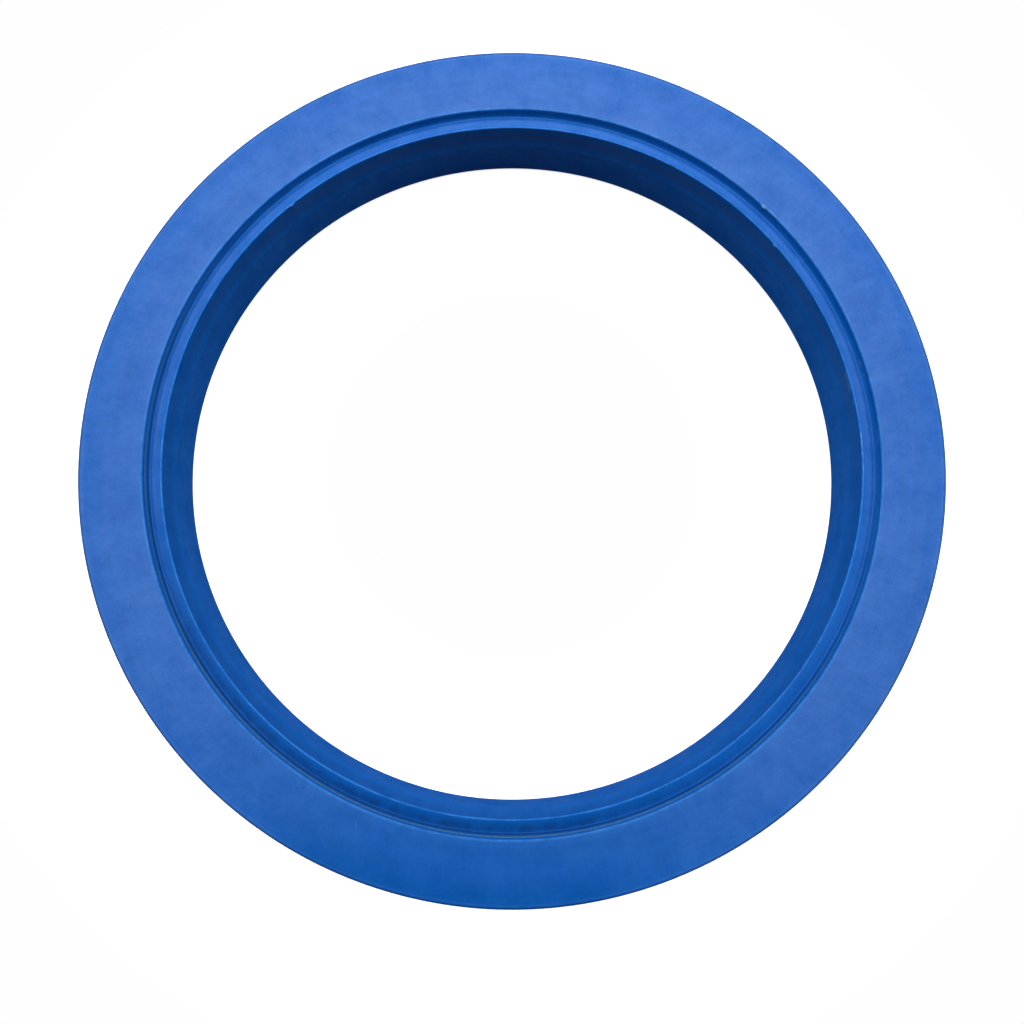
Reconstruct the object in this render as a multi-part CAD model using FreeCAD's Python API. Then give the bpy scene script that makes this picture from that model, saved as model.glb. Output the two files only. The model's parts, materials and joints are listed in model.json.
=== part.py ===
"""Crankshaft seal: one turned ring of blue elastomer.

The ring lies on its flat back with the sealing lip facing up. The frame's origin is the
centre of the back face, +Z runs along the shaft axis towards the lip side, and every size
is in millimetres.
"""
import FreeCAD
import Part

import math
import os

NODE = "seal_ring"

# Overall sizes
BORE_DIAMETER = 80.0         # the land that runs on the shaft
RADIAL_SECTION = 10.0        # from the bore land out to the housing diameter
AXIAL_WIDTH = 10.0           # from the back face to the front face

# Sealing lip, measured outwards from the bore land and down from the front face
LIP_FLARE = 0.5              # how far the lip edge stands outside the bore land
LIP_LENGTH = 3.6             # axial length of the flared wall under the lip edge
LIP_SETBACK = 0.45           # depth of the lip edge below the front face
LIP_EDGE_ROUND = 0.12        # the lip edge is crisp, but not a knife's

# Groove that frees the lip from the body
FLANK_WIDTH = 1.65           # radial width of the lip's sloping outer flank
GROOVE_DEPTH = 0.85          # depth, below the front face, where flank and wall would meet
GROOVE_WALL_ANGLE = 30.0     # lean of the groove's outer wall from the axis, in degrees
GROOVE_NOSE_RADIUS = 0.3     # round that the tool's nose leaves in the groove's floor

# Edges
FACE_EDGE_ROUND = 0.15       # front face to groove wall
FRONT_EDGE_ROUND = 0.3       # front face to outer diameter
BORE_CHAMFER = 0.35          # back face to bore land
LEAD_IN_LENGTH = 1.2         # axial length of the press-in chamfer at the back
LEAD_IN_ANGLE = 20.0         # lean of that chamfer from the axis, in degrees

FULL_TURN = 360.0
AXIS_BASE = FreeCAD.Vector(0, 0, 0)
AXIS_DIRECTION = FreeCAD.Vector(0, 0, 1)


def point(radius, height):
    """A point of the half section, which lies in the XZ plane."""
    return FreeCAD.Vector(radius, 0, height)


def section_corners():
    """The section's corners in order, each with the radius that rounds it (0 for none)."""
    bore = BORE_DIAMETER / 2
    outer = bore + RADIAL_SECTION
    lip_radius = bore + LIP_FLARE
    lip_height = AXIAL_WIDTH - LIP_SETBACK
    groove_radius = lip_radius + FLANK_WIDTH
    groove_height = AXIAL_WIDTH - GROOVE_DEPTH
    wall_run = GROOVE_DEPTH * math.tan(math.radians(GROOVE_WALL_ANGLE))
    lead_in = LEAD_IN_LENGTH * math.tan(math.radians(LEAD_IN_ANGLE))
    return [
        (point(bore + BORE_CHAMFER, 0), 0),
        (point(outer - lead_in, 0), 0),
        (point(outer, LEAD_IN_LENGTH), 0),
        (point(outer, AXIAL_WIDTH), FRONT_EDGE_ROUND),
        (point(groove_radius + wall_run, AXIAL_WIDTH), FACE_EDGE_ROUND),
        (point(groove_radius, groove_height), GROOVE_NOSE_RADIUS),
        (point(lip_radius, lip_height), LIP_EDGE_ROUND),
        (point(bore, lip_height - LIP_LENGTH), 0),
        (point(bore, BORE_CHAMFER), 0),
    ]


def rounded_corner(before, corner, after, radius):
    """The arc that rounds one corner, tangent to both of its sides."""
    to_before = (before - corner).normalize()
    to_after = (after - corner).normalize()
    half_angle = to_before.getAngle(to_after) / 2
    reach = radius / math.tan(half_angle)
    start = corner + to_before * reach
    end = corner + to_after * reach
    inward = (to_before + to_after).normalize()
    middle = corner + inward * (radius / math.sin(half_angle) - radius)
    return start, Part.Arc(start, middle, end).toShape(), end


def section_face():
    """The closed half section: straight sides with an arc at each rounded corner."""
    corners = section_corners()
    count = len(corners)
    edges = []
    first_start = None
    last_end = None
    for index, (corner, radius) in enumerate(corners):
        start, end, arc = corner, corner, None
        if radius:
            before = corners[index - 1][0]
            after = corners[(index + 1) % count][0]
            start, arc, end = rounded_corner(before, corner, after, radius)
        if last_end is None:
            first_start = start
        else:
            edges.append(Part.makeLine(last_end, start))
        if arc:
            edges.append(arc)
        last_end = end
    edges.append(Part.makeLine(last_end, first_start))
    return Part.Face(Part.Wire(edges))


def seal_ring():
    """The whole seal, turned as one solid about the shaft axis."""
    return section_face().revolve(AXIS_BASE, AXIS_DIRECTION, FULL_TURN)


def main():
    os.makedirs("parts", exist_ok=True)
    seal_ring().exportStep(os.path.join("parts", NODE + ".step"))


main()
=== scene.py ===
"""Looks of a crankshaft seal: one turned ring of blue elastomer on a pale table."""

import json
import logging
import math
from dataclasses import dataclass, field, replace
from enum import Enum
from typing import Any, ClassVar

import bpy
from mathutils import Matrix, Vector


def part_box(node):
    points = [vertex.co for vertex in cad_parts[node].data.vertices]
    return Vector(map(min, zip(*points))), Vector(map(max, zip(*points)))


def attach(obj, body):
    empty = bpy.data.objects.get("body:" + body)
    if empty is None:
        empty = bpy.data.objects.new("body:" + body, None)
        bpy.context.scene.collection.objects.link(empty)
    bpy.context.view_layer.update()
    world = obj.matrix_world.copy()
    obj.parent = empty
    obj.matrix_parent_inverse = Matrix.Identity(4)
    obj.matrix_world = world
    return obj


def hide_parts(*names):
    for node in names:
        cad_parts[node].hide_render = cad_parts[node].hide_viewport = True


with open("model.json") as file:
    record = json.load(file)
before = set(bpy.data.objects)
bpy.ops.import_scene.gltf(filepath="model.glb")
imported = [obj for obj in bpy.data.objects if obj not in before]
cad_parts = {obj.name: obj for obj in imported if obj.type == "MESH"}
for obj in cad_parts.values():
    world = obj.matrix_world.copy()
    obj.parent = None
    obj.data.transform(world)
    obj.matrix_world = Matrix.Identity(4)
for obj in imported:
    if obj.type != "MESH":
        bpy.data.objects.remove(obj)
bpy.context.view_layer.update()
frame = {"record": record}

LOG = logging.getLogger("crankshaft_seal")
MM = 0.001
NODE = "seal_ring"
BODY = "root"

Colour = tuple[float, float, float, float]
Direction = tuple[float, float, float]
Socket = bpy.types.NodeSocket
Source = Any

FLAT = (1.0, 1.0, 0.0)
BLACK = (0.0, 0.0, 0.0, 1.0)
WHITE = (1.0, 1.0, 1.0, 1.0)


def srgb(red: int, green: int, blue: int) -> Colour:
    """Turns a display colour of 0 to 255 into the linear colour that a shader takes.

    Args:
        red: Red, 0 to 255.
        green: Green, 0 to 255.
        blue: Blue, 0 to 255.

    Returns:
        The linear colour with full alpha.
    """
    def linear(value: int) -> float:
        """One channel made linear."""
        share = value / 255
        return share / 12.92 if share <= 0.04045 else ((share + 0.055) / 1.055) ** 2.4
    return linear(red), linear(green), linear(blue), 1.0


def mount_radius(name: str) -> float:
    """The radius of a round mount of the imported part.

    Args:
        name: The mount's name.

    Returns:
        Its radius in metres.
    """
    found = next(mount for mount in frame["record"]["mounts"] if mount["name"] == name)
    return found["dims"]["r_mm"] * MM


def linked(thing: bpy.types.Object) -> bpy.types.Object:
    """Puts an object in the scene and gives it back."""
    bpy.context.scene.collection.objects.link(thing)
    return thing


@dataclass(frozen=True)
class Step:
    """A smooth step in a measure: where it starts and ends, and its values on both sides."""

    start: float
    end: float
    before: float = 0.0
    after: float = 1.0

    def moved(self, by: float) -> "Step":
        """The same step, further along the measure."""
        return replace(self, start=self.start + by, end=self.end + by)


@dataclass(frozen=True)
class Edge:
    """A circular edge of the seal, in metres: its radius and its height from the back face."""

    radius: float
    height: float


@dataclass(frozen=True)
class Band:
    """A soft band beside an edge, in millimetres from it, and how strongly it shows."""

    outward: float
    upward: float
    reach: float
    share: float = 1.0


class Wiring:
    """A node tree under construction, with short ways to add and join nodes."""

    def __init__(self, name: str, kind: str) -> None:
        """Starts an empty node group.

        Args:
            name: The group's name.
            kind: ShaderNodeTree or GeometryNodeTree.
        """
        self.tree = bpy.data.node_groups.new(name, kind)
        self.inlet = self.node("NodeGroupInput")
        self.outlet = self.node("NodeGroupOutput")

    def node(self, kind: str, **settings: Any) -> bpy.types.Node:
        """Adds a node.

        Args:
            kind: The node's type name.
            **settings: Properties to set on it.

        Returns:
            The new node.
        """
        made = self.tree.nodes.new(kind)
        for name, value in settings.items():
            setattr(made, name, value)
        return made

    def feed(self, socket: Socket, value: Source) -> None:
        """Links an output to a socket, or sets the socket's own value.

        Args:
            socket: The input to fill.
            value: An output socket, or a plain value.
        """
        if isinstance(value, bpy.types.NodeSocket):
            self.tree.links.new(value, socket)
        else:
            socket.default_value = value

    def feed_all(self, node: bpy.types.Node, inputs: dict[str, Source]) -> None:
        """Feeds several inputs of one node by name."""
        for name, value in inputs.items():
            self.feed(node.inputs[name], value)

    def take(self, name: str, kind: str, default: Any = None) -> Socket:
        """Declares an input of the group.

        Args:
            name: The input's name.
            kind: Its kind of socket, such as Float.
            default: Its value where nothing is fed.

        Returns:
            The socket inside the group that gives the input's value.
        """
        socket = self.tree.interface.new_socket(name=name, in_out="INPUT",
                                                socket_type="NodeSocket" + kind)
        if default is not None:
            socket.default_value = default
        return self.inlet.outputs[name]

    def give(self, name: str, kind: str, value: Socket) -> None:
        """Declares an output of the group and links a value to it.

        Args:
            name: The output's name.
            kind: Its kind of socket, such as Float.
            value: The socket that it passes on.
        """
        self.tree.interface.new_socket(name=name, in_out="OUTPUT",
                                       socket_type="NodeSocket" + kind)
        self.tree.links.new(value, self.outlet.inputs[name])

    def math(self, operation: str, *values: Source, clamp: bool = False) -> Socket:
        """A Math node's result.

        Args:
            operation: The operation's name.
            *values: Its one to three inputs.
            clamp: Whether the result is held to 0..1.

        Returns:
            The result.
        """
        made = self.node("ShaderNodeMath", operation=operation, use_clamp=clamp)
        for socket, value in zip(made.inputs, values):
            self.feed(socket, value)
        return made.outputs[0]

    def product(self, first: Source, *others: Source) -> Socket:
        """Several values times each other.

        Args:
            first: The first value.
            *others: The values that multiply it, one after the other.

        Returns:
            The product.
        """
        result = first
        for value in others:
            result = self.math("MULTIPLY", result, value)
        return result

    def weighted(self, base: float, *layers: tuple[Source, float]) -> Socket:
        """A value with shares of several layers added.

        Args:
            base: The value to start from.
            *layers: Each layer with the share of it that is added.

        Returns:
            The sum.
        """
        total = base
        for layer, share in layers:
            total = self.math("MULTIPLY_ADD", layer, share, total)
        return total

    def vector(self, operation: str, *values: Source) -> Socket:
        """A Vector Math node's result.

        Args:
            operation: The operation's name.
            *values: Its inputs, in order.

        Returns:
            The result: a number for LENGTH, DISTANCE and DOT_PRODUCT, otherwise a vector.
        """
        made = self.node("ShaderNodeVectorMath", operation=operation)
        for socket, value in zip(made.inputs, values):
            self.feed(socket, value)
        numbers = ("LENGTH", "DISTANCE", "DOT_PRODUCT")
        return made.outputs["Value" if operation in numbers else "Vector"]

    def scaled(self, vector: Source, factor: Source) -> Socket:
        """A vector times a number.

        Args:
            vector: The vector.
            factor: The number.

        Returns:
            The longer or shorter vector.
        """
        made = self.node("ShaderNodeVectorMath", operation="SCALE")
        self.feed_all(made, {"Vector": vector, "Scale": factor})
        return made.outputs["Vector"]

    def upright(self, height: Source) -> Socket:
        """A vector that points straight up.

        Args:
            height: Its length.

        Returns:
            The vector.
        """
        made = self.node("ShaderNodeCombineXYZ")
        self.feed(made.inputs["Z"], height)
        return made.outputs[0]

    def height_of(self, vector: Source) -> Socket:
        """The upward part of a vector.

        Args:
            vector: The vector.

        Returns:
            How far it goes up.
        """
        made = self.node("ShaderNodeSeparateXYZ")
        self.feed(made.inputs[0], vector)
        return made.outputs["Z"]

    def ramp(self, value: Source, low: Source, high: Source, to_low: Source = 0.0,
             to_high: Source = 1.0) -> Socket:
        """A smooth step from one value to another.

        Args:
            value: What is measured.
            low: Where the step starts.
            high: Where the step ends.
            to_low: The result below low.
            to_high: The result above high.

        Returns:
            The stepped value.
        """
        made = self.node("ShaderNodeMapRange", interpolation_type="SMOOTHSTEP")
        for name, given in (("Value", value), ("From Min", low), ("From Max", high),
                            ("To Min", to_low), ("To Max", to_high)):
            self.feed(made.inputs[name], given)
        return made.outputs["Result"]

    def step(self, value: Source, step: Step) -> Socket:
        """A measure taken through a smooth step."""
        return self.ramp(value, step.start, step.end, step.before, step.after)

    def fading(self, distance: Source, reach: Source) -> Socket:
        """1 at no distance, and 0 from the reach onwards."""
        return self.ramp(distance, 0.0, reach, 1.0, 0.0)

    def near_edge(self, radius: Source, height: Source, edge_radius: Source,
                  edge_height: Source, reach: Source) -> Socket:
        """A soft band round one circular edge.

        Args:
            radius: The point's radius.
            height: The point's height.
            edge_radius: The edge's radius.
            edge_height: The edge's height.
            reach: How far the band goes.

        Returns:
            1 on the edge, 0 past the reach.
        """
        off_radius = self.math("SUBTRACT", radius, edge_radius)
        off_height = self.math("SUBTRACT", height, edge_height)
        squares = self.math("ADD", self.product(off_radius, off_radius),
                            self.product(off_height, off_height))
        return self.fading(self.math("SQRT", squares), reach)

    def noise(self, vector: Source, scale: Source, detail: float = 2.0,
              roughness: float = 0.6) -> Socket:
        """A noise of 0 to 1.

        Args:
            vector: Where it is read.
            scale: How many of its waves go to one unit of the vector.
            detail: How many finer octaves are added.
            roughness: How strong the finer octaves are.

        Returns:
            The noise.
        """
        made = self.node("ShaderNodeTexNoise", noise_dimensions="3D")
        self.feed_all(made, {"Vector": vector, "Scale": scale, "Detail": detail,
                             "Roughness": roughness})
        return made.outputs["Fac"]

    def part(self, group: bpy.types.NodeTree, **inputs: Source) -> bpy.types.Node:
        """Places another group in this tree.

        Args:
            group: The group to place.
            **inputs: Its inputs by name, with _ for each space.

        Returns:
            The group node.
        """
        kind = "ShaderNodeGroup" if group.bl_idname == "ShaderNodeTree" else "GeometryNodeGroup"
        made = self.node(kind)
        made.node_tree = group
        for name, value in inputs.items():
            self.feed(made.inputs[name.replace("_", " ")], value)
        return made


class MaterialWiring(Wiring):
    """The node tree of one material, which ends in its output node."""

    MIX_FACTOR, MIX_A, MIX_B, MIX_RESULT = 0, 6, 7, 2

    def __init__(self, name: str) -> None:
        """Starts a material that holds only its output node.

        Args:
            name: The material's name.
        """
        self.material = bpy.data.materials.new(name)
        self.material.use_nodes = True
        self.tree = self.material.node_tree
        self.tree.nodes.clear()
        self.surface = self.node("ShaderNodeOutputMaterial")

    def mixed(self, factor: Source, below: Source, above: Source,
              blend: str = "MIX") -> Socket:
        """One colour over another.

        Args:
            factor: How much of the upper colour shows.
            below: The lower colour.
            above: The upper colour.
            blend: The Mix node's blend type.

        Returns:
            The mixed colour.
        """
        made = self.node("ShaderNodeMix", data_type="RGBA", blend_type=blend)
        self.feed(made.inputs[self.MIX_FACTOR], factor)
        self.feed(made.inputs[self.MIX_A], below)
        self.feed(made.inputs[self.MIX_B], above)
        return made.outputs[self.MIX_RESULT]


@dataclass(frozen=True)
class SealSection:
    """Half section of the seal, in metres: radius outwards, height up from the back face."""

    GROOVE_CORNER: ClassVar[int] = 5
    bore_radius: float = mount_radius("shaft_bore")
    outer_radius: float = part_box(NODE)[1].x
    width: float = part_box(NODE)[1].z
    lip_flare: float = 0.5 * MM
    lip_length: float = 3.6 * MM
    lip_setback: float = 0.45 * MM
    flank_width: float = 1.65 * MM
    groove_depth: float = 0.85 * MM
    groove_wall_angle: float = math.radians(30)
    bore_chamfer: float = 0.35 * MM
    lead_in_length: float = 1.2 * MM
    lead_in_angle: float = math.radians(20)
    lip_round: float = 0.12 * MM
    groove_nose: float = 0.3 * MM
    face_round: float = 0.15 * MM
    front_round: float = 0.14 * MM
    back_break: float = 0.05 * MM
    flank_crown: float = 0.028 * MM
    arc_steps: int = 5
    break_steps: int = 2
    side_step: float = 3.0 * MM
    crown_step: float = 0.2 * MM
    hold: float = 0.06 * MM

    @property
    def lip(self) -> Edge:
        """The sealing lip's corner."""
        return Edge(self.bore_radius + self.lip_flare, self.width - self.lip_setback)

    @property
    def groove(self) -> Edge:
        """Where the flank and the groove wall would meet."""
        return Edge(self.lip.radius + self.flank_width, self.width - self.groove_depth)

    @property
    def face(self) -> Edge:
        """The front face's inner corner."""
        wall_run = self.groove_depth * math.tan(self.groove_wall_angle)
        return Edge(self.groove.radius + wall_run, self.width)

    @property
    def rim(self) -> Edge:
        """The front face's outer corner."""
        return Edge(self.outer_radius, self.width)

    def corners(self) -> list[tuple[Vector, float]]:
        """The section's corners in order.

        Returns:
            Each corner with the radius that rounds it.
        """
        lead_in = self.lead_in_length * math.tan(self.lead_in_angle)
        lip, groove, face = self.lip, self.groove, self.face
        return [(Vector(place), radius) for place, radius in (
            ((self.bore_radius + self.bore_chamfer, 0), self.back_break),
            ((self.outer_radius - lead_in, 0), self.back_break),
            ((self.outer_radius, self.lead_in_length), self.back_break),
            ((self.outer_radius, self.width), self.front_round),
            ((face.radius, face.height), self.face_round),
            ((groove.radius, groove.height), self.groove_nose),
            ((lip.radius, lip.height), self.lip_round),
            ((self.bore_radius, lip.height - self.lip_length), self.back_break),
            ((self.bore_radius, self.bore_chamfer), self.back_break),
        )]

    def arc(self, before: Vector, corner: Vector, after: Vector, radius: float) -> list[Vector]:
        """The points that round one corner.

        Args:
            before: The corner before it.
            corner: The corner itself.
            after: The corner after it.
            radius: The round's radius.

        Returns:
            The arc's points, from the side before to the side after.
        """
        to_before = (before - corner).normalized()
        to_after = (after - corner).normalized()
        half = to_before.angle(to_after) / 2
        centre = corner + (to_before + to_after).normalized() * (radius / math.sin(half))
        start = corner + to_before * (radius / math.tan(half)) - centre
        end = corner + to_after * (radius / math.tan(half)) - centre
        sweep = math.atan2(start.cross(end), start.dot(end))
        steps = self.arc_steps if radius > self.back_break else self.break_steps
        points = []
        for step in range(steps + 1):
            turn = sweep * step / steps
            cos, sin = math.cos(turn), math.sin(turn)
            spoke = Vector((start.x * cos - start.y * sin, start.x * sin + start.y * cos))
            points.append(centre + spoke)
        return points

    def side(self, start: Vector, end: Vector, crown: float = 0.0) -> list[Vector]:
        """Points between the ends of a side, close to each end and evenly between.

        Args:
            start: The side's first point.
            end: The side's last point.
            crown: How far the side's middle bulges out of the material.

        Returns:
            The points between them, without the ends.
        """
        length = (end - start).length
        along = (end - start).normalized()
        outwards = Vector((along.y, -along.x))
        inner = length - 2 * self.hold
        if inner <= self.hold:
            return []
        step = self.crown_step if crown else self.side_step
        count = max(1, math.ceil(inner / step))
        points = []
        for index in range(count + 1):
            run = self.hold + inner * index / count
            share = run / length
            points.append(start + along * run + outwards * (4 * crown * share * (1 - share)))
        return points

    def outline(self) -> list[Vector]:
        """The whole closed section: arcs, and the sides between them.

        Returns:
            Its points in order.
        """
        corners = self.corners()
        count = len(corners)
        arcs = []
        for index, (corner, radius) in enumerate(corners):
            before = corners[index - 1][0]
            after = corners[(index + 1) % count][0]
            arcs.append(self.arc(before, corner, after, radius))
        points = []
        for index, arc in enumerate(arcs):
            crown = self.flank_crown if index == self.GROOVE_CORNER else 0.0
            points += arc
            points += self.side(arc[-1], arcs[(index + 1) % count][0], crown)
        return points


@dataclass(frozen=True)
class EdgeWander:
    """How far a hand-trimmed edge strays from its true circle, in metres."""

    edge: Edge
    reach: float
    outward: float
    upward: float
    waves_per_mm: float
    seed: float


@dataclass(frozen=True)
class Nick:
    """A small dent or burr in an edge: where it is and how it moves the surface, in metres."""

    angle_degrees: float
    edge: Edge
    reach: float
    outward: float
    upward: float

    def from_axis(self, outward: float, upward: float) -> Vector:
        """A vector in the nick's own direction from the axis."""
        angle = math.radians(self.angle_degrees)
        return Vector((outward * math.cos(angle), outward * math.sin(angle), upward))

    def centre(self) -> Vector:
        """The nick's place in the part's frame."""
        return self.from_axis(self.edge.radius, self.edge.height)

    def push(self) -> Vector:
        """How far the surface moves at the nick's middle."""
        return self.from_axis(self.outward, self.upward)


class TurningTrees:
    """Geometry node groups that turn the section into the ring and disturb its edges."""

    def __init__(self) -> None:
        """Builds the groups once."""
        self.wander = self._wander_group()
        self.nick = self._nick_group()

    @staticmethod
    def _wander_group() -> bpy.types.NodeTree:
        """Moves the surface near one circular edge by a noise that follows the ring.

        Returns:
            The group.
        """
        w = Wiring("EdgeWander", "GeometryNodeTree")
        geometry = w.take("Geometry", "Geometry")
        radius = w.take("Edge Radius", "Float", 0.04)
        height = w.take("Edge Height", "Float", 0.01)
        reach = w.take("Reach", "Float", 0.0005)
        outward = w.take("Outward", "Float", 0.0)
        upward = w.take("Upward", "Float", 0.0)
        waves = w.take("Waves", "Float", 500.0)
        seed = w.take("Seed", "Float", 0.0)
        position = w.node("GeometryNodeInputPosition").outputs[0]
        flat = w.vector("MULTIPLY", position, FLAT)
        near = w.near_edge(w.vector("LENGTH", flat), w.height_of(position), radius, height, reach)
        where = w.vector("ADD", w.scaled(flat, waves), w.upright(seed))
        stray = w.math("SUBTRACT", w.noise(where, 1.0), 0.5)
        amount = w.product(stray, 2.0, near)
        out = w.scaled(w.vector("NORMALIZE", flat), w.product(amount, outward))
        up = w.upright(w.product(amount, upward))
        moved = w.node("GeometryNodeSetPosition")
        w.feed_all(moved, {"Geometry": geometry, "Offset": w.vector("ADD", out, up)})
        w.give("Geometry", "Geometry", moved.outputs["Geometry"])
        return w.tree

    @staticmethod
    def _nick_group() -> bpy.types.NodeTree:
        """Pushes the surface round one point, most at the point and not at all past the reach.

        Returns:
            The group.
        """
        w = Wiring("EdgeNick", "GeometryNodeTree")
        geometry = w.take("Geometry", "Geometry")
        centre = w.take("Centre", "Vector")
        push = w.take("Push", "Vector")
        reach = w.take("Reach", "Float", 0.0005)
        position = w.node("GeometryNodeInputPosition").outputs[0]
        near = w.fading(w.vector("DISTANCE", position, centre), reach)
        moved = w.node("GeometryNodeSetPosition")
        w.feed_all(moved, {"Geometry": geometry, "Offset": w.scaled(push, near)})
        w.give("Geometry", "Geometry", moved.outputs["Geometry"])
        return w.tree

    def ring(self, wanders: list[EdgeWander], nicks: list[Nick]) -> bpy.types.NodeTree:
        """The tree that turns a section into the ring.

        Args:
            wanders: Edges that stray from their circle.
            nicks: Single dents and burrs.

        Returns:
            A tree whose inputs are the section, the path's radius, the steps of one turn and
            the material.
        """
        w = Wiring("TurnedRing", "GeometryNodeTree")
        section = w.take("Section", "Geometry")
        path_radius = w.take("Path Radius", "Float", 0.04)
        steps = w.take("Steps", "Int", 360)
        finish = w.take("Finish", "Material")
        profile = w.node("GeometryNodeMeshToCurve")
        w.feed(profile.inputs["Mesh"], section)
        path = w.node("GeometryNodeCurvePrimitiveCircle", mode="RADIUS")
        w.feed_all(path, {"Resolution": steps, "Radius": path_radius})
        turned = w.node("GeometryNodeCurveToMesh")
        w.feed_all(turned, {"Curve": path.outputs["Curve"],
                            "Profile Curve": profile.outputs["Curve"]})
        geometry = turned.outputs["Mesh"]
        for wander in wanders:
            geometry = w.part(
                self.wander, Geometry=geometry, Edge_Radius=wander.edge.radius,
                Edge_Height=wander.edge.height, Reach=wander.reach, Outward=wander.outward,
                Upward=wander.upward, Waves=wander.waves_per_mm / MM, Seed=wander.seed,
            ).outputs["Geometry"]
        for nick in nicks:
            geometry = w.part(
                self.nick, Geometry=geometry, Centre=nick.centre(), Push=nick.push(),
                Reach=nick.reach,
            ).outputs["Geometry"]
        for kind, more in (("GeometryNodeSetShadeSmooth", {}),
                           ("GeometryNodeRealizeInstances", {}),
                           ("GeometryNodeSetMaterial", {"Material": finish})):
            made = w.node(kind)
            w.feed_all(made, {"Geometry": geometry, **more})
            geometry = made.outputs["Geometry"]
        w.give("Ring", "Geometry", geometry)
        return w.tree


class SurfaceGroups:
    """Shader node groups that the finishes share."""

    def __init__(self) -> None:
        """Builds the groups once."""
        self.place = self._place_group()
        self.marks = self._marks_group()
        self.rim = self._rim_group()
        self.spot = self._spot_group()

    @staticmethod
    def _place_group() -> bpy.types.NodeTree:
        """Where a point is on the ring: radius and height in millimetres, and its spoke.

        Returns:
            The group.
        """
        w = Wiring("RingPlace", "ShaderNodeTree")
        millimetres = w.scaled(w.take("Vector", "Vector"), 1 / MM)
        flat = w.vector("MULTIPLY", millimetres, FLAT)
        w.give("Radius", "Float", w.vector("LENGTH", flat))
        w.give("Height", "Float", w.height_of(millimetres))
        w.give("Spoke", "Vector", w.vector("NORMALIZE", flat))
        w.give("Place", "Vector", millimetres)
        return w.tree

    @staticmethod
    def _marks_group() -> bpy.types.NodeTree:
        """Fine lines that a turning tool leaves: they run round the ring and slowly change.

        Returns:
            The group.
        """
        w = Wiring("TurningMarks", "ShaderNodeTree")
        radius = w.take("Radius", "Float")
        height = w.take("Height", "Float")
        spoke = w.take("Spoke", "Vector")
        pitch = w.take("Pitch", "Float", 0.3)
        change = w.take("Change", "Float", 2.0)
        seed = w.take("Seed", "Float", 0.0)
        across = w.math("ADD", w.math("DIVIDE", w.math("ADD", radius, height), pitch), seed)
        where = w.vector("ADD", w.scaled(spoke, change), w.upright(across))
        w.give("Marks", "Float", w.noise(where, 1.0))
        return w.tree

    @staticmethod
    def _rim_group() -> bpy.types.NodeTree:
        """A soft band round one circular edge: 1 on the edge, 0 past the reach.

        Returns:
            The group.
        """
        w = Wiring("RimBand", "ShaderNodeTree")
        sources = [w.take(name, "Float", default) for name, default in (
            ("Radius", 0.0), ("Height", 0.0), ("Rim Radius", 40.0), ("Rim Height", 10.0),
            ("Reach", 0.3))]
        w.give("Band", "Float", w.near_edge(*sources))
        return w.tree

    @staticmethod
    def _spot_group() -> bpy.types.NodeTree:
        """A small soft-edged mark: 1 in its middle, 0 past its extent along each of its axes.

        Returns:
            The group.
        """
        w = Wiring("Spot", "ShaderNodeTree")
        place = w.take("Place", "Vector")
        centre = w.take("Centre", "Vector")
        turn = w.take("Turn", "Vector")
        extent = w.take("Extent", "Vector", (1.0, 1.0, 1.0))
        strength = w.take("Strength", "Float", 1.0)
        local = w.node("ShaderNodeMapping", vector_type="TEXTURE")
        w.feed_all(local, {"Vector": place, "Location": centre, "Rotation": turn,
                           "Scale": extent})
        away = w.vector("LENGTH", local.outputs["Vector"])
        w.give("Mark", "Float", w.ramp(away, 0.0, 1.0, strength, 0.0))
        return w.tree


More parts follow.
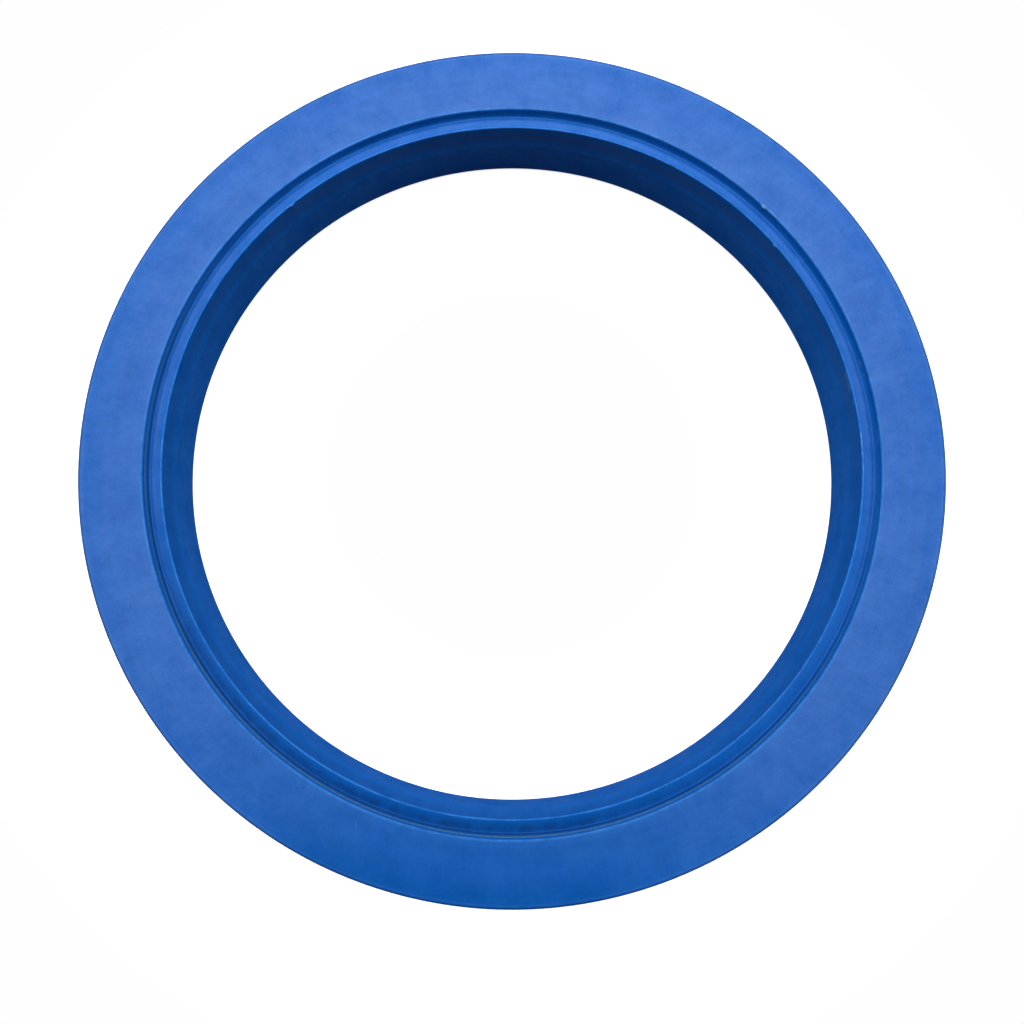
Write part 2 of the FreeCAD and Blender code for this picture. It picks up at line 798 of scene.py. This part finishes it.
class RingWiring(MaterialWiring):
    """A material of the ring, which knows where a point lies and how the surface varies."""

    CLOUD_PER_MM, BLOTCH_PER_MM, GRAIN_PER_MM = 0.28, 0.9, 3.4

    def __init__(self, name: str, groups: SurfaceGroups, section: SealSection,
                 dust_and_shade_side: Direction) -> None:
        """Starts the material and reads the point's place on the ring.

        Args:
            name: The material's name.
            groups: The shared shader groups.
            section: The seal's section.
            dust_and_shade_side: The side of the ring where the painted shade lies and the grey
                streaks gather.
        """
        super().__init__(name)
        self.groups = groups
        self.section = section
        coordinates = self.node("ShaderNodeTexCoord").outputs["Object"]
        place = self.part(groups.place, Vector=coordinates).outputs
        self.radius, self.height = place["Radius"], place["Height"]
        self.spoke, self.place = place["Spoke"], place["Place"]
        self.fine = self.turning(self.height, pitch=0.16, change=5.0, seed=41.3)
        self.broad = self.turning(self.height, pitch=0.9, change=1.6, seed=307.9)
        self.streak = self.turning(0.0, pitch=4.0, change=110.0, seed=613.7)
        self.cloud = self.noise(self.place, self.CLOUD_PER_MM)
        self.blotch = self.noise(self.place, self.BLOTCH_PER_MM)
        self.grain = self.noise(self.place, self.GRAIN_PER_MM, detail=1.0)
        # Lean towards the near side, where the painted shade and the dust lie
        self.dust_and_shade_lean = self.lean(dust_and_shade_side)

    def turning(self, height: Source, pitch: float, change: float, seed: float) -> Socket:
        """Turning marks of one pitch.

        Args:
            height: What the marks take for height; 0.0 draws them across the face.
            pitch: Millimetres from mark to mark.
            change: How often they change on one turn of the ring.
            seed: Which marks they are.

        Returns:
            The marks, 0 to 1.
        """
        return self.part(self.groups.marks, Radius=self.radius, Height=height,
                         Spoke=self.spoke, Pitch=pitch, Change=change,
                         Seed=seed).outputs["Marks"]

    def lean(self, side: Direction) -> Socket:
        """How far a point lies towards one side of the ring: 1 there, -1 opposite."""
        return self.vector("DOT_PRODUCT", self.spoke, side)

    def band(self, edge: Edge, band: Band) -> Socket:
        """A soft band beside one edge of the section.

        Args:
            edge: The edge.
            band: Where beside the edge it lies.

        Returns:
            1 in the band's middle, 0 past its reach.
        """
        return self.part(self.groups.rim, Radius=self.radius, Height=self.height,
                         Rim_Radius=edge.radius / MM + band.outward,
                         Rim_Height=edge.height / MM + band.upward,
                         Reach=band.reach).outputs["Band"]

    def ringed(self, colour: Source, above: Colour, edge: Edge, band: Band,
               *masks: Source) -> Socket:
        """Lays a colour beside an edge.

        Args:
            colour: The colour below.
            above: The colour that is laid on.
            edge: The edge.
            band: Where beside the edge it lies, and how strongly it shows.
            *masks: What else thins it out, each 0 to 1.

        Returns:
            The colour with the band on it.
        """
        shown = self.product(self.band(edge, band), *masks, band.share)
        return self.mixed(shown, colour, above)


class Residue(Enum):
    """What a small mark on the surface is, as the colour it leaves."""

    WHITENED = srgb(128, 176, 232)
    CHALK = srgb(128, 142, 168)
    GRIT = srgb(76, 116, 162)


# Painted shade: the dark blue laid on the groove's wall and corner, the flank's foot, along the
# rim and on the face's outer part, mostly on the near side.
PAINTED_SHADE = srgb(2, 44, 104)


@dataclass(frozen=True)
class Mark:
    """A small spot or scratch, in millimetres: heading 0 points outwards, 90 round the ring."""

    residue: Residue
    angle_degrees: float
    radius: float
    height: float
    length: float
    reach: float
    strength: float
    heading_degrees: float = 90

    def cover(self, w: RingWiring) -> Socket:
        """How much of the surface the mark covers.

        Args:
            w: The material that it lies on.

        Returns:
            Its strength in its middle, 0 past its extent.
        """
        angle = math.radians(self.angle_degrees)
        centre = Vector((self.radius * math.cos(angle), self.radius * math.sin(angle),
                         self.height))
        turn = Vector((0, 0, math.radians(self.angle_degrees + self.heading_degrees)))
        return w.part(w.groups.spot, Place=w.place, Centre=centre, Turn=turn,
                      Extent=Vector((self.length, self.reach, self.reach)),
                      Strength=self.strength).outputs["Mark"]


@dataclass(frozen=True)
class EdgeBandsAndPaintedLight:
    """Paler face edge bands, painted highlights on lip and rim, painted rim shade on the near
    side, burrs.
    """

    # Pale colour of the bands at the face's inner edge, and of the painted highlight inside the
    # outer rim
    edge_pale_and_highlight: Colour = srgb(70, 140, 222)
    # Painted highlight of the lip's rounded edge
    lip_highlight: Colour = srgb(60, 138, 230)
    face_bloom: Band = Band(0.3, 0.0, 1.1, 0.07)
    face_edge: Band = Band(0.08, 0.0, 0.26, 0.64)
    rim_highlight: Band = Band(-0.42, 0.0, 0.2, 0.2)
    # Painted shade along the outer rim
    rim_shade: Band = Band(0.0, -0.04, 0.38)
    lip_highlight_band: Band = Band(0.1, 0.0, 0.19, 0.8)
    lip_burrs: Band = Band(0.1, 0.0, 0.19, 0.3)
    patches: Step = Step(0.38, 0.6, 0.35, 1.0)
    burrs: Step = Step(0.64, 0.76)
    rim_shade_side: Step = Step(0.0, 0.9, 0.6, 0.9)

    def over(self, w: RingWiring, colour: Source) -> Socket:
        """Lays the pale bands, the painted highlights, the rim's painted shade and the burrs on.

        Args:
            w: The material.
            colour: The colour below.

        Returns:
            The new colour.
        """
        section = w.section
        patchy = w.step(w.weighted(0.0, (w.broad, 0.5), (w.blotch, 0.5)), self.patches)
        for above, edge, band, *masks in (
                # Paler bands beside the face's inner edge
                (self.edge_pale_and_highlight, section.face, self.face_bloom),
                (self.edge_pale_and_highlight, section.face, self.face_edge, patchy),
                # Painted highlight just inside the outer rim
                (self.edge_pale_and_highlight, section.rim, self.rim_highlight, patchy),
                # Painted shade along the outer rim, stronger on the near side
                (PAINTED_SHADE, section.rim, self.rim_shade, w.step(w.dust_and_shade_lean, self.rim_shade_side)),
                # Painted highlight along the lip's edge
                (self.lip_highlight, section.lip, self.lip_highlight_band, patchy),
                (Residue.WHITENED.value, section.lip, self.lip_burrs,
                 w.step(w.grain, self.burrs))):
            colour = w.ringed(colour, above, edge, band, *masks)
        return colour


@dataclass(frozen=True)
class GrooveShadeAndDust:
    """Painted shade in the groove and on the flank's foot, and grey streaks with painted sheen on
    its wall.
    """

    # Greys of dust on the groove's wall, with a painted sheen laid in them
    dust_and_sheen: Colour = srgb(54, 88, 118)
    chalk_and_sheen: Colour = srgb(82, 116, 150)
    wall: Band = Band(-0.2, -0.3, 0.45, 0.42)
    corner: Band = Band(0.06, 0.12, 0.31)
    foot: Band = Band(-0.5, 0.12, 1.25)
    streak: Band = Band(-0.27, -0.46, 0.38, 0.85)
    line: Band = Band(-0.24, -0.4, 0.16, 0.95)
    corner_shade_side: Step = Step(-0.9, 0.6, 0.12, 0.76)
    foot_shade_side: Step = Step(0.35, 1.0, 0.0, 0.55)
    foot_blotches: Step = Step(0.38, 0.62, 0.45, 1.0)
    dust_and_sheen_side: Step = Step(-0.8, 1.0, 0.08, 0.95)
    dust_and_sheen_grains: Step = Step(0.36, 0.6, 0.55, 1.0)
    dust_and_sheen_marks: Step = Step(0.36, 0.64, 0.55, 1.0)
    chalk_and_sheen_breaks: Step = Step(0.35, 0.6, 0.2, 1.0)
    dull_wall: Band = Band(-0.2, -0.3, 0.62)
    dull_reach: float = 0.7
    dull_middle: float = 0.4
    dull_edge: Step = Step(0.1, 0.5)
    dull_gathers: Step = Step(-0.5, 0.4, 0.85, 1.0)

    def over(self, w: RingWiring, colour: Source) -> Socket:
        """Lays the painted shade, the grey streak and the pale line with their painted sheen on.

        Args:
            w: The material.
            colour: The colour below.

        Returns:
            The new colour.
        """
        section = w.section
        dust_and_sheen_spots = w.product(w.step(w.dust_and_shade_lean, self.dust_and_sheen_side),
                            w.step(w.grain, self.dust_and_sheen_grains))
        for above, edge, band, *masks in (
                # Painted shade on the groove's wall, all round
                (PAINTED_SHADE, section.face, self.wall),
                # Painted shade in the groove's corner, mostly on the near side
                (PAINTED_SHADE, section.groove, self.corner, w.step(w.dust_and_shade_lean, self.corner_shade_side)),
                # Painted shade on the flank's foot on the near side
                (PAINTED_SHADE, section.groove, self.foot, w.step(w.dust_and_shade_lean, self.foot_shade_side),
                 w.step(w.blotch, self.foot_blotches)),
                # Dust on the groove's wall, with a painted sheen where the wall faces the light,
                # on the near side
                (self.dust_and_sheen, section.face, self.streak, w.step(w.fine, self.dust_and_sheen_marks), dust_and_sheen_spots),
                (self.chalk_and_sheen, section.face, self.line, w.step(w.broad, self.chalk_and_sheen_breaks),
                 dust_and_sheen_spots)):
            colour = w.ringed(colour, above, edge, band, *masks)
        return colour

    def dullness(self, w: RingWiring) -> Socket:
        """Where the groove is dull: on its wall, and on its floor, fully on the near side and a
        little less far.

        Args:
            w: The material.

        Returns:
            1 where it is dull, 0 where it keeps its burnish.
        """
        groove, face, share = w.section.groove, w.section.face, self.dull_middle
        middle = Edge(groove.radius * (1 - share) + face.radius * share,
                      groove.height * (1 - share) + face.height * share)
        wall = w.step(w.band(face, self.dull_wall), self.dull_edge)
        whole = w.step(w.band(middle, Band(0.0, 0.0, self.dull_reach)), self.dull_edge)
        return w.math("MAXIMUM", wall, w.product(whole, w.step(w.dust_and_shade_lean, self.dull_gathers)))


@dataclass(frozen=True)
class ShadedFlare:
    """The flared wall under the lip: painted shade makes it darker than the bore; worn grey on
    one side.
    """

    shade: Colour = srgb(8, 50, 104)
    wear: Colour = srgb(56, 70, 116)
    worn_side: Direction = (0.35, 0.94, 0.0)
    worn_share: Step = Step(-0.2, 0.7)
    worn_depth: float = 1.7
    worn_reach: float = 0.8
    below_lip: Step = Step(-3.4, -1.2)
    inside_lip: Step = Step(-0.02, 0.04, 0.24, 0.0)

    def over(self, w: RingWiring, colour: Source) -> Socket:
        """Lays the painted shade and the worn band on.

        Args:
            w: The material.
            colour: The colour below.

        Returns:
            The new colour.
        """
        top = w.section.lip.height / MM
        under = w.step(w.height, self.below_lip.moved(top))
        inside = w.step(w.radius, self.inside_lip.moved(w.section.lip.radius / MM))
        # Painted shade on the bore's upper part, darkest just under the lip
        colour = w.mixed(w.product(under, inside), colour, self.shade)
        off = w.math("ABSOLUTE", w.math("SUBTRACT", w.height, top - self.worn_depth))
        worn = w.product(w.fading(off, self.worn_reach),
                         w.step(w.lean(self.worn_side), self.worn_share), inside)
        return w.mixed(worn, colour, self.wear)


@dataclass(frozen=True)
class NearShadePatch:
    """Painted shade and a weaker burnish on the face's outer part on the near side.

    Its inner border is on the radius in millimetres, made ragged by the broad marks.
    """

    side: Direction = (-0.1, -0.995, 0.0)
    share: float = 0.2
    dulls: float = 0.62
    ragged: float = 2.4
    shade_lean: Step = Step(0.86, 0.99)
    border: Step = Step(46.4, 50.2, 0.3, 1.0)
    on_face: Step = Step(-0.2, -0.03)

    def cover(self, w: RingWiring) -> Socket:
        """Where the patch lies.

        Args:
            w: The material.

        Returns:
            1 in the patch, 0 off it.
        """
        outer = w.step(w.math("MULTIPLY_ADD", w.broad, self.ragged, w.radius), self.border)
        level = w.step(w.height, self.on_face.moved(w.section.width / MM))
        return w.product(w.step(w.lean(self.side), self.shade_lean), outer, level)


@dataclass(frozen=True)
class Burnish:
    """The sheen of the turned faces; the bore, the groove and the sharp edges stay dull.

    The steps are in millimetres from the lip, the rim or the front face, and the patches are
    the shares of cloud, blotch and grain in it.
    """

    roughness: float = 0.36
    ior: float = 1.65
    flank_from_lip: Step = Step(0.1, 0.4, 0.09, 0.35)
    face_from_lip: Step = Step(0.5, 1.4, 0.0, 0.27)
    fade_to_rim: Step = Step(-3.0, -1.0, 1.0, 0.86)
    inner_part: Step = Step(-6.0, -5.0, 1.0, 0.0)
    outer_wall: Step = Step(-0.2, -0.03, 0.35, 1.0)
    patches: tuple[float, float, float] = (0.8, 0.6, 0.6)
    edge_band: Band = Band(0.0, 0.0, 0.35, 0.6)

    def weight(self, w: RingWiring, dull: Source) -> Socket:
        """How strong the sheen is.

        Args:
            w: The material.
            dull: Where the groove is dull.

        Returns:
            The sheen's weight, 0 to 1.
        """
        section = w.section
        lip, rim = section.lip.radius / MM, section.rim.radius / MM
        flank = w.step(w.radius, self.flank_from_lip.moved(lip))
        face = w.step(w.radius, self.face_from_lip.moved(lip))
        patches = w.weighted(0.0, *zip((w.cloud, w.blotch, w.grain), self.patches))
        level = w.math("MAXIMUM", w.step(w.height, self.outer_wall.moved(section.width / MM)),
                       w.step(w.radius, self.inner_part.moved(rim)))
        gloss = w.product(w.math("ADD", flank, face), patches, w.weighted(1.0, (dull, -1.0)),
                          w.step(w.radius, self.fade_to_rim.moved(rim)), level)
        edge = w.band(section.face, self.edge_band)
        return w.math("MULTIPLY", gloss, w.weighted(1.0, (edge, -self.edge_band.share)),
                      clamp=True)


@dataclass(frozen=True)
class BlueElastomer:
    """Matte blue cast elastomer: fine turning marks, pale edges, painted highlights and shade.

    The tone's shares are those of the fine and broad marks, blotches, grain and streaks.
    """

    section: SealSection
    marks: tuple[Mark, ...]
    pigment: Colour = srgb(4, 95, 189)
    pale_pigment: Colour = srgb(10, 100, 195)
    dust_and_shade_side: Direction = (-0.4, -0.92, 0.0)
    clouds: Step = Step(0.3, 0.7)
    tone: float = 0.62
    tone_shares: tuple[float, ...] = (0.12, 0.22, 0.14, 0.1, 0.16)
    roughness: float = 0.67
    roughness_change: float = 0.16
    bump_strength: float = 0.3
    bump_height: float = 0.02 * MM
    edges: EdgeBandsAndPaintedLight = EdgeBandsAndPaintedLight()
    groove: GrooveShadeAndDust = GrooveShadeAndDust()
    flare: ShadedFlare = ShadedFlare()
    patch: NearShadePatch = NearShadePatch()
    burnish: Burnish = Burnish()

    def material(self, groups: SurfaceGroups) -> bpy.types.Material:
        """Builds the material.

        Args:
            groups: The shared shader groups.

        Returns:
            The finished material.
        """
        w = RingWiring("BlueElastomer", groups, self.section, self.dust_and_shade_side)
        colour = self._toned(w, w.mixed(w.step(w.cloud, self.clouds), self.pigment,
                                        self.pale_pigment))
        for coat in (self.edges, self.groove, self.flare):
            colour = coat.over(w, colour)
        patch = self.patch.cover(w)
        # Painted shade on the face's outer part on the near side
        colour = w.mixed(w.product(patch, self.patch.share), colour, PAINTED_SHADE)
        colour = self._marked(w, colour)
        gloss = w.product(self.burnish.weight(w, self.groove.dullness(w)),
                          w.weighted(1.0, (patch, -self.patch.dulls)))
        bump = w.node("ShaderNodeBump")
        w.feed_all(bump, {"Strength": self.bump_strength, "Distance": self.bump_height,
                          "Height": w.fine})
        shader = w.node("ShaderNodeBsdfPrincipled")
        w.feed_all(shader, {
            "Base Color": colour,
            "Roughness": w.weighted(self.roughness, (w.blotch, self.roughness_change)),
            "Specular IOR Level": 0.0, "Coat Weight": gloss,
            "Coat Roughness": self.burnish.roughness, "Coat IOR": self.burnish.ior,
            "Normal": bump.outputs[0]})
        w.feed(w.surface.inputs["Surface"], shader.outputs[0])
        return w.material

    def _toned(self, w: RingWiring, colour: Source) -> Socket:
        """Makes the pigment lighter and darker by marks round and across, blotches and grain.

        Args:
            w: The material.
            colour: The pigment.

        Returns:
            The new colour.
        """
        layers = (w.fine, w.broad, w.blotch, w.grain, w.streak)
        tone = w.weighted(self.tone, *zip(layers, self.tone_shares))
        grey = w.node("ShaderNodeCombineColor")
        w.feed_all(grey, {"Red": tone, "Green": tone, "Blue": tone})
        return w.mixed(1.0, colour, grey.outputs[0], "MULTIPLY")

    def _marked(self, w: RingWiring, colour: Source) -> Socket:
        """Lays the single specks, flecks and scratches on, one residue over the other.

        Args:
            w: The material.
            colour: The colour below.

        Returns:
            The new colour.
        """
        for residue in Residue:
            cover = 0.0
            for mark in self.marks:
                if mark.residue is residue:
                    cover = w.math("MAXIMUM", cover, mark.cover(w))
            colour = w.mixed(cover, colour, residue.value)
        return colour


@dataclass
class SealRing:
    """The seal itself: its section, its disturbed edges and its finish."""

    section: SealSection = field(default_factory=SealSection)
    steps: int = 1200
    name: str = "SealRingTurned"

    def edges(self) -> list[EdgeWander]:
        """The edges that a trimming knife left uneven.

        Returns:
            The lip, the face's inner edge and the groove's floor.
        """
        section = self.section
        return [
            EdgeWander(section.lip, reach=0.35 * MM, outward=0.035 * MM, upward=0.03 * MM,
                       waves_per_mm=0.9, seed=11.0),
            EdgeWander(section.face, reach=0.3 * MM, outward=0.03 * MM, upward=0.02 * MM,
                       waves_per_mm=0.6, seed=23.0),
            EdgeWander(section.groove, reach=0.5 * MM, outward=0.03 * MM, upward=0.02 * MM,
                       waves_per_mm=0.35, seed=31.0),
        ]

    def nicks(self) -> list[Nick]:
        """The single dents and burrs that can be seen from above.

        Returns:
            The nick in the face's inner edge, and the two flecks on the lip.
        """
        lip, face = self.section.lip, self.section.face
        return [
            Nick(45.3, face, reach=0.45 * MM, outward=-0.14 * MM, upward=0.02 * MM),
            Nick(39.4, lip, reach=0.5 * MM, outward=-0.12 * MM, upward=-0.03 * MM),
            Nick(130.6, lip, reach=0.5 * MM, outward=-0.11 * MM, upward=-0.02 * MM),
        ]

    def marks(self) -> tuple[Mark, ...]:
        """Specks, flecks and scratches of the surface.

        Returns:
            The marks, in the order in which those of one residue are laid.
        """
        top = self.section.width / MM
        lip = self.section.lip.radius / MM
        lip_top = self.section.lip.height / MM
        # The nick in the face's inner edge, and the two flecks on the lip
        flecks = (
            Mark(Residue.WHITENED, 45.3, 42.6, top, 0.6, 0.3, 0.72),
            Mark(Residue.WHITENED, 43.6, 42.75, top, 1.3, 0.2, 0.35),
            Mark(Residue.CHALK, 39.4, lip - 0.05, lip_top - 0.1, 0.4, 0.2, 0.5),
            Mark(Residue.CHALK, 130.6, lip - 0.05, lip_top - 0.1, 0.5, 0.2, 0.55),
        )
        # Whitened stretches of the lip: angle, distance outwards, length, reach, strength
        stretches = tuple(
            Mark(Residue.WHITENED, angle, lip + outward, lip_top, length, reach, strength)
            for angle, outward, length, reach, strength in (
                (358.3, 0.1, 0.6, 0.1, 0.45), (0.8, 0.1, 0.5, 0.1, 0.8),
                (2.5, 0.1, 0.9, 0.1, 0.85), (3.8, 0.12, 0.6, 0.12, 0.9),
                (177.2, 0.1, 0.7, 0.1, 0.4), (184.4, 0.1, 0.6, 0.1, 0.4),
                (186.0, 0.1, 0.8, 0.1, 0.4)))
        # Grit under the lip and in the groove, and two scratches on the face
        return flecks + stretches + (
            Mark(Residue.GRIT, 13.9, lip - 0.05, lip_top - 0.35, 1.0, 0.45, 0.55),
            Mark(Residue.GRIT, 12.1, lip - 0.06, lip_top - 0.45, 1.1, 0.5, 0.65),
            Mark(Residue.GRIT, 9.4, lip - 0.03, lip_top - 0.3, 0.7, 0.3, 0.5),
            Mark(Residue.GRIT, 15.5, 42.35, top - 0.5, 0.7, 0.32, 0.45),
            Mark(Residue.GRIT, 13.5, 42.33, top - 0.5, 0.4, 0.28, 0.45),
            Mark(Residue.GRIT, 3.1, 42.46, top - 0.3, 1.3, 0.18, 0.3),
            Mark(Residue.WHITENED, 247.3, 44.4, top, 0.8, 0.06, 0.3, heading_degrees=20),
            Mark(Residue.WHITENED, 21.4, 43.2, top, 0.3, 0.1, 0.3, heading_degrees=60),
        )

    def build(self, trees: TurningTrees, groups: SurfaceGroups) -> bpy.types.Object:
        """Turns the ring and dresses it.

        Args:
            trees: The geometry node groups.
            groups: The shader node groups.

        Returns:
            The finished piece, which rides on the part's body.
        """
        finish = BlueElastomer(self.section, self.marks()).material(groups)
        piece = self._section_object()
        tree = trees.ring(self.edges(), self.nicks())
        values = {"Path Radius": self.section.bore_radius, "Steps": self.steps, "Finish": finish}
        turn_into_mesh(piece, tree, values)
        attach(piece, BODY)
        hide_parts(NODE)
        return piece

    def _section_object(self) -> bpy.types.Object:
        """The section as a closed line, drawn from the path outwards and with height down -Y.

        Returns:
            The object that holds it.
        """
        points = self.section.outline()
        corners = [(p.x - self.section.bore_radius, -p.y, 0.0) for p in points]
        count = len(corners)
        mesh = bpy.data.meshes.new(self.name)
        mesh.from_pydata(corners, [(i, (i + 1) % count) for i in range(count)], [])
        return linked(bpy.data.objects.new(self.name, mesh))


def turn_into_mesh(piece: bpy.types.Object, tree: bpy.types.NodeTree,
                   values: dict[str, Any]) -> None:
    """Runs a geometry tree on a piece and keeps the result as the piece's plain mesh.

    Args:
        piece: The object that the tree works on.
        tree: The geometry node tree.
        values: Its inputs by name.
    """
    modifier = piece.modifiers.new(tree.name, "NODES")
    modifier.node_group = tree
    for item in tree.interface.items_tree:
        if item.item_type == "SOCKET" and item.in_out == "INPUT" and item.name in values:
            modifier[item.identifier] = values[item.name]
    shown = piece.evaluated_get(bpy.context.evaluated_depsgraph_get())
    mesh = bpy.data.meshes.new_from_object(shown)
    piece.modifiers.clear()
    piece.data = mesh
    mesh.name = piece.name


class LightShape(Enum):
    """The outline of a softbox, and its area as a share of width times height."""

    RECTANGLE = 1.0
    ELLIPSE = math.pi / 4


@dataclass(frozen=True)
class Softbox:
    """A flat soft light, measured in outer radii of the seal; 1 is the radiance of white."""

    name: str
    centre: Vector
    target: Vector
    width: float
    height: float
    radiance: float
    shape: LightShape = LightShape.RECTANGLE

    def hang(self, unit: float, origin: Vector) -> None:
        """Puts the softbox in the scene.

        Args:
            unit: The seal's outer radius.
            origin: The point that the target is measured from.
        """
        light = bpy.data.lights.new(self.name, "AREA")
        light.shape = self.shape.name
        light.size, light.size_y = self.width * unit, self.height * unit
        area = self.width * unit * self.height * unit * self.shape.value
        light.energy = self.radiance * math.pi * area
        lamp = linked(bpy.data.objects.new(self.name, light))
        lamp.location = self.centre * unit
        facing = origin + self.target * unit - self.centre * unit
        lamp.rotation_euler = facing.to_track_quat("-Z", "Y").to_euler()
        lamp.visible_camera = False


@dataclass
class Studio:
    """A pale table under broad soft lights, and the camera above it.

    The places of the camera and the lights and the table's clear zones are in outer radii of
    the seal.
    """

    outer_radius: float
    face_height: float
    camera_rise: float = 2.131
    camera_setback: float = 0.386
    camera_tilt_degrees: float = 6.93
    camera_nearest: float = 0.001
    lens_mm: float = 32.98
    sensor_mm: float = 36.0
    table_half: float = 3.0
    table_gap: float = 0.02 * MM
    table_seen: Colour = srgb(254, 254, 254)
    table_bounce: Colour = (0.22, 0.22, 0.22, 1.0)
    table_glow: float = 0.82
    clear_inside: Step = Step(0.45, 0.6, 1.0, 0.0)
    clear_outside: Step = Step(1.25, 1.5)
    softbox_height: float = 7.7
    overhead_radiance: float = 3.5
    near_radiance: float = 1.7
    side_radiance: float = 2.2
    far_radiance: float = 2.6
    fill_radiance: float = 9.0
    fill_height: float = 0.09
    room_light: float = 0.03

    def build(self) -> None:
        """Makes the table, the lights, the world and the camera."""
        self._table()
        self._lights()
        self._world()
        self._camera()
        bpy.context.scene.view_settings.view_transform = "Standard"

    def _table_material(self) -> bpy.types.Material:
        """Looks white, shows shadow only close to the seal, and throws back little light.

        Returns:
            The table's material.
        """
        w = MaterialWiring("PaleTable")
        ray = w.node("ShaderNodeLightPath").outputs
        seen = w.math("MAXIMUM", ray["Is Camera Ray"],
                      w.math("MAXIMUM", ray["Is Glossy Ray"], ray["Is Transmission Ray"]))
        place = w.scaled(w.node("ShaderNodeTexCoord").outputs["Object"], 1 / self.outer_radius)
        away = w.vector("LENGTH", place)
        clear = w.math("MAXIMUM", w.step(away, self.clear_inside),
                       w.step(away, self.clear_outside))
        strength = w.weighted(self.table_glow, (clear, 1 - self.table_glow))
        lit = w.mixed(seen, self.table_bounce, self.table_seen)
        matte = w.node("ShaderNodeBsdfDiffuse")
        w.feed(matte.inputs["Color"],
               w.mixed(w.product(ray["Is Camera Ray"], clear), lit, BLACK))
        glow = w.node("ShaderNodeEmission")
        w.feed_all(glow, {"Color": self.table_seen,
                          "Strength": w.product(ray["Is Camera Ray"], strength)})
        both = w.node("ShaderNodeAddShader")
        w.feed(both.inputs[0], matte.outputs[0])
        w.feed(both.inputs[1], glow.outputs[0])
        w.feed(w.surface.inputs["Surface"], both.outputs[0])
        return w.material

    def _table(self) -> None:
        """A wide flat table right under the seal."""
        half = self.table_half
        mesh = bpy.data.meshes.new("Table")
        mesh.from_pydata([(-half, -half, 0), (half, -half, 0), (half, half, 0), (-half, half, 0)],
                         [], [(0, 1, 2, 3)])
        mesh.materials.append(self._table_material())
        table = linked(bpy.data.objects.new("Table", mesh))
        table.location.z = -self.table_gap

    def _lights(self) -> None:
        """Softboxes overhead, a band of low ones on the far side and a low fill in front."""
        seal = Vector((0, 0, self.face_height))
        floor = Vector((0, 0, 0))
        down = Vector((0, 0, -1))
        for name, side, forth, width, height, radiance, shape in (
                ("SoftboxOverhead", 0, 2.5, 7.4, 5.4, self.overhead_radiance,
                 LightShape.ELLIPSE),
                ("SoftboxNearRight", 4.0, -1.0, 3.6, 3.6, self.near_radiance,
                 LightShape.RECTANGLE),
                ("SoftboxNearLeft", -4.0, -0.6, 3.2, 3.2, self.near_radiance,
                 LightShape.RECTANGLE)):
            centre = Vector((side, forth, self.softbox_height))
            Softbox(name, centre, centre + down, width, height, radiance,
                    shape).hang(self.outer_radius, floor)
        for name, azimuth, elevation, distance, width, height, radiance in (
                ("SoftboxRight", 30, 26, 8.0, 9.4, 4.4, self.side_radiance),
                ("SoftboxLeft", 150, 26, 8.0, 9.4, 4.4, self.side_radiance),
                ("SoftboxFar", 90, 30, 4.2, 3.2, 1.5, self.far_radiance)):
            turn, rise = math.radians(azimuth), math.radians(elevation)
            spoke = Vector((math.cos(turn) * math.cos(rise), math.sin(turn) * math.cos(rise),
                            math.sin(rise)))
            Softbox(name, spoke * distance, floor, width, height,
                    radiance).hang(self.outer_radius, seal)
        Softbox("FillFront", Vector((0, -3.2, self.fill_height)),
                Vector((0, 0, self.fill_height)), 4.0, 0.17,
                self.fill_radiance).hang(self.outer_radius, floor)

    def _world(self) -> None:
        """White behind everything that the camera sees, and a dim even light otherwise."""
        world = bpy.data.worlds.new("Surround")
        bpy.context.scene.world = world
        world.use_nodes = True
        tree = world.node_tree
        tree.nodes.clear()
        ray = tree.nodes.new("ShaderNodeLightPath")
        strength = tree.nodes.new("ShaderNodeMapRange")
        strength.inputs["To Min"].default_value = self.room_light
        strength.inputs["To Max"].default_value = 1.0
        tree.links.new(ray.outputs["Is Camera Ray"], strength.inputs["Value"])
        sky = tree.nodes.new("ShaderNodeBackground")
        tree.links.new(strength.outputs["Result"], sky.inputs["Strength"])
        sky.inputs["Color"].default_value = WHITE
        out = tree.nodes.new("ShaderNodeOutputWorld")
        tree.links.new(sky.outputs[0], out.inputs["Surface"])

    def _camera(self) -> None:
        """A camera almost straight above the seal, a little to the near side."""
        data = bpy.data.cameras.new("Camera")
        data.sensor_width = self.sensor_mm
        data.lens = self.lens_mm
        data.clip_start = self.camera_nearest
        camera = linked(bpy.data.objects.new("Camera", data))
        camera.location = (0, -self.camera_setback * self.outer_radius,
                           self.face_height + self.camera_rise * self.outer_radius)
        camera.rotation_euler = (math.radians(self.camera_tilt_degrees), 0, 0)
        bpy.context.scene.camera = camera


def main() -> None:
    """Builds the seal and the studio, and reports each piece."""
    logging.basicConfig(level=logging.INFO, format="%(name)s: %(message)s")
    groups = SurfaceGroups()
    ring = SealRing()
    piece = ring.build(TurningTrees(), groups)
    LOG.info("%s: %d faces", piece.name, len(piece.data.polygons))
    Studio(ring.section.outer_radius, ring.section.width).build()
    LOG.info("studio ready")


if __name__ == "__main__":
    main()
